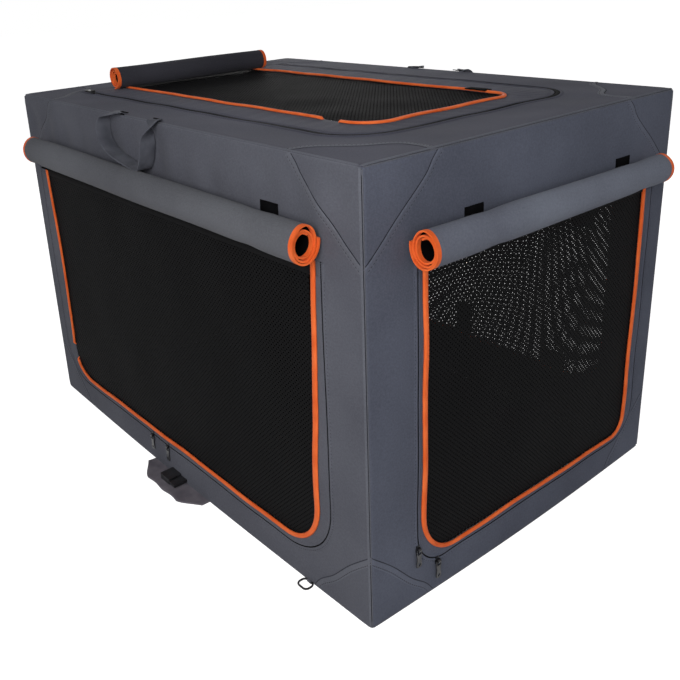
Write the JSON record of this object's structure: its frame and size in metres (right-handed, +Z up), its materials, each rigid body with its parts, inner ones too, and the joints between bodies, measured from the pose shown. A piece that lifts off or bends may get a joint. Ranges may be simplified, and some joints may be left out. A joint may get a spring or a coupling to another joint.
{
  "type": "soft folding dog crate",
  "caption": "Folding soft pet crate: cloth box on a folding steel tube frame, with zipped mesh doors, rolled covers, carry loops and a buckled folding strap.",
  "frame": {"origin": "middle of the underside, on the surface that the crate stands on", "axes": "+X along the length towards the front door, +Y across towards the far side, +Z up"},
  "size_m": [0.9672, 0.709, 0.6499],
  "materials": {
    "grey_oxford": "woven coated polyester, matte",
    "orange_binding": "woven polyester binding tape, matte",
    "black_net": "fine knitted polyester mesh",
    "black_webbing": "hook-and-loop tape, matte",
    "grey_webbing": "woven webbing, matte",
    "black_plastic": "moulded acetal, satin",
    "black_zip": "black painted die casting",
    "black_steel": "powder coated tube",
    "mat_cloth": "padded mat, dark cloth"
  },
  "bodies": {
    "base": {"floor_panel": "grey_oxford", "floor_mat": "mat_cloth", "base_ring": "black_steel", "base_clip_front_near": "black_plastic", "base_clip_front_far": "black_plastic", "base_clip_back_near": "black_plastic", "base_clip_back_far": "black_plastic", "near_side_wall": "grey_oxford", "far_side_wall": "grey_oxford", "front_wall": "grey_oxford", "back_wall": "grey_oxford", "far_window_binding": "orange_binding", "far_window_mesh": "black_net", "fold_strap": "grey_webbing", "buckle_socket": "black_plastic", "ring_sleeve": "black_webbing"},
    "front_lower": {"front_lower_frame": "black_steel", "elbow_rivet_front_near": "black_steel", "elbow_rivet_front_far": "black_steel"},
    "front_upper": {"front_upper_frame": "black_steel"},
    "back_lower": {"back_lower_frame": "black_steel", "elbow_rivet_back_near": "black_steel", "elbow_rivet_back_far": "black_steel"},
    "back_upper": {"back_upper_frame": "black_steel"},
    "roof": {"roof_ring": "black_steel", "roof_panel": "grey_oxford", "roof_clip_front_near": "black_plastic", "roof_clip_front_far": "black_plastic", "roof_clip_back_near": "black_plastic", "roof_clip_back_far": "black_plastic"},
    "roof_door": {"roof_door_border": "grey_oxford", "roof_door_binding": "orange_binding", "roof_door_mesh": "black_net", "roof_roll": "grey_oxford"},
    "side_door": {"side_door_border": "grey_oxford", "side_door_binding": "orange_binding", "side_door_mesh": "black_net"},
    "front_door": {"front_door_border": "grey_oxford", "front_door_binding": "orange_binding", "front_door_mesh": "black_net"},
    "side_cover": {"side_roll": "grey_oxford", "side_roll_strap_1": "black_webbing", "side_roll_strap_2": "black_webbing"},
    "front_cover": {"front_roll": "grey_oxford", "front_roll_strap_1": "black_webbing", "front_roll_strap_2": "black_webbing"},
    "near_loop": {"near_handle": "grey_webbing"},
    "far_loop": {"far_handle": "grey_webbing"},
    "side_left_zip": {"side_left_slider": "black_zip"},
    "side_right_zip": {"side_right_slider": "black_zip"},
    "front_low_zip": {"front_low_slider": "black_zip"},
    "front_high_zip": {"front_high_slider": "black_zip"},
    "roof_zip": {"roof_slider": "black_zip"},
    "side_left_tab": {"side_left_pull": "black_zip"},
    "side_right_tab": {"side_right_pull": "black_zip"},
    "front_low_tab": {"front_low_pull": "black_zip"},
    "front_high_tab": {"front_high_pull": "black_zip"},
    "roof_tab": {"roof_pull": "black_zip"},
    "plug": {"buckle_plug": "black_plastic"},
    "peg_ring": {"ground_ring": "black_plastic"}
  },
  "joints": [
    {"name": "front_lower_fold", "type": "hinge", "parent": "base", "child": "front_lower", "pos_m": [0.444, 0, 0.0315], "axis": [0, 1, 0], "range_deg": [-87.8, 0], "deforming": ["near_side_wall", "far_side_wall", "front_wall", "back_wall", "side_door_border", "side_door_binding", "side_door_mesh", "front_door_border", "front_door_binding", "front_door_mesh", "far_window_binding", "far_window_mesh"]},
    {"name": "front_upper_fold", "type": "hinge", "parent": "front_lower", "child": "front_upper", "pos_m": [0.444, 0, 0.305], "axis": [0, 1, 0], "range_deg": [0, 175.6]},
    {"name": "roof_level", "type": "hinge", "parent": "front_upper", "child": "roof", "pos_m": [0.444, 0, 0.5785], "axis": [0, 1, 0], "range_deg": [-87.8, 0]},
    {"name": "back_lower_fold", "type": "hinge", "parent": "base", "child": "back_lower", "pos_m": [-0.444, 0, 0.0315], "axis": [0, 1, 0], "range_deg": [0, 87.8]},
    {"name": "back_upper_fold", "type": "hinge", "parent": "back_lower", "child": "back_upper", "pos_m": [-0.444, 0, 0.305], "axis": [0, 1, 0], "range_deg": [-175.6, 0]},
    {"name": "side_cover_drop", "type": "slide", "parent": "base", "child": "side_cover", "axis": [0, -0.133, -0.9911], "range_m": [0, 0.46614]},
    {"name": "front_cover_drop", "type": "slide", "parent": "base", "child": "front_cover", "axis": [0.07, 0, -0.9975], "range_m": [0, 0.45712]},
    {"name": "side_door_swing", "type": "hinge", "parent": "base", "child": "side_door", "pos_m": [0, -0.316, 0.4685], "axis": [-1, 0, 0], "range_deg": [0, 88]},
    {"name": "front_door_swing", "type": "hinge", "parent": "base", "child": "front_door", "pos_m": [0.458, 0, 0.4685], "axis": [0, -1, 0], "range_deg": [0, 88]},
    {"name": "roof_door_swing", "type": "hinge", "parent": "roof", "child": "roof_door", "pos_m": [-0.372, 0, 0.61], "axis": [0, -1, 0], "range_deg": [0, 90]},
    {"name": "near_handle_swing", "type": "hinge", "parent": "roof", "child": "near_loop", "pos_m": [-0.025, -0.3178, 0.6118], "axis": [-1, 0, 0], "range_deg": [0, 155]},
    {"name": "far_handle_swing", "type": "hinge", "parent": "roof", "child": "far_loop", "pos_m": [0.001, 0.3178, 0.6118], "axis": [1, 0, 0], "range_deg": [0, 155]},
    {"name": "side_left_zip_slide", "type": "slide", "parent": "base", "child": "side_left_zip", "axis": [-1, 0, 0], "range_m": [0, 0.29]},
    {"name": "side_right_zip_slide", "type": "slide", "parent": "base", "child": "side_right_zip", "axis": [1, 0, 0], "range_m": [0, 0.35]},
    {"name": "front_low_zip_slide", "type": "slide", "parent": "base", "child": "front_low_zip", "axis": [0, 1, 0], "range_m": [0, 0.42]},
    {"name": "front_high_zip_slide", "type": "slide", "parent": "base", "child": "front_high_zip", "axis": [0, 0, 1], "range_m": [0, 0.34]},
    {"name": "roof_zip_slide", "type": "slide", "parent": "roof", "child": "roof_zip", "axis": [1, 0, 0], "range_m": [0, 0.6]},
    {"name": "side_left_tab_turn", "type": "hinge", "parent": "side_left_zip", "child": "side_left_tab", "pos_m": [-0.09, -0.3212, 0.046], "axis": [-1, 0, 0], "range_deg": [0, 120]},
    {"name": "side_right_tab_turn", "type": "hinge", "parent": "side_right_zip", "child": "side_right_tab", "pos_m": [-0.038, -0.3212, 0.046], "axis": [-1, 0, 0], "range_deg": [0, 120]},
    {"name": "front_low_tab_turn", "type": "hinge", "parent": "front_low_zip", "child": "front_low_tab", "pos_m": [0.4632, -0.196, 0.046], "axis": [0, -1, 0], "range_deg": [0, 120]},
    {"name": "front_high_tab_turn", "type": "hinge", "parent": "front_high_zip", "child": "front_high_tab", "pos_m": [0.4632, -0.234, 0.084], "axis": [0, -1, 0], "range_deg": [0, 120]},
    {"name": "roof_tab_turn", "type": "hinge", "parent": "roof_zip", "child": "roof_tab", "pos_m": [-0.327, -0.23675, 0.6152], "axis": [0, 1, 0], "range_deg": [0, 120]},
    {"name": "buckle_plug_slide", "type": "slide", "parent": "base", "child": "plug", "axis": [1, 0, 0], "range_m": [0, 0.024]},
    {"name": "peg_ring_turn", "type": "hinge", "parent": "base", "child": "peg_ring", "pos_m": [0.337, -0.3189, 0.0026], "axis": [-1, 0, 0], "range_deg": [0, 80]}
  ],
  "couplings": [
    {"joint": "front_upper_fold", "follows": "front_lower_fold", "ratio": -2},
    {"joint": "roof_level", "follows": "front_lower_fold", "ratio": 1},
    {"joint": "back_lower_fold", "follows": "front_lower_fold", "ratio": -1},
    {"joint": "back_upper_fold", "follows": "front_lower_fold", "ratio": 2},
    {"joint": "side_cover_drop", "follows": "front_lower_fold", "m_per_rad": -0.30418},
    {"joint": "front_cover_drop", "follows": "front_lower_fold", "m_per_rad": -0.29829}
  ]
}
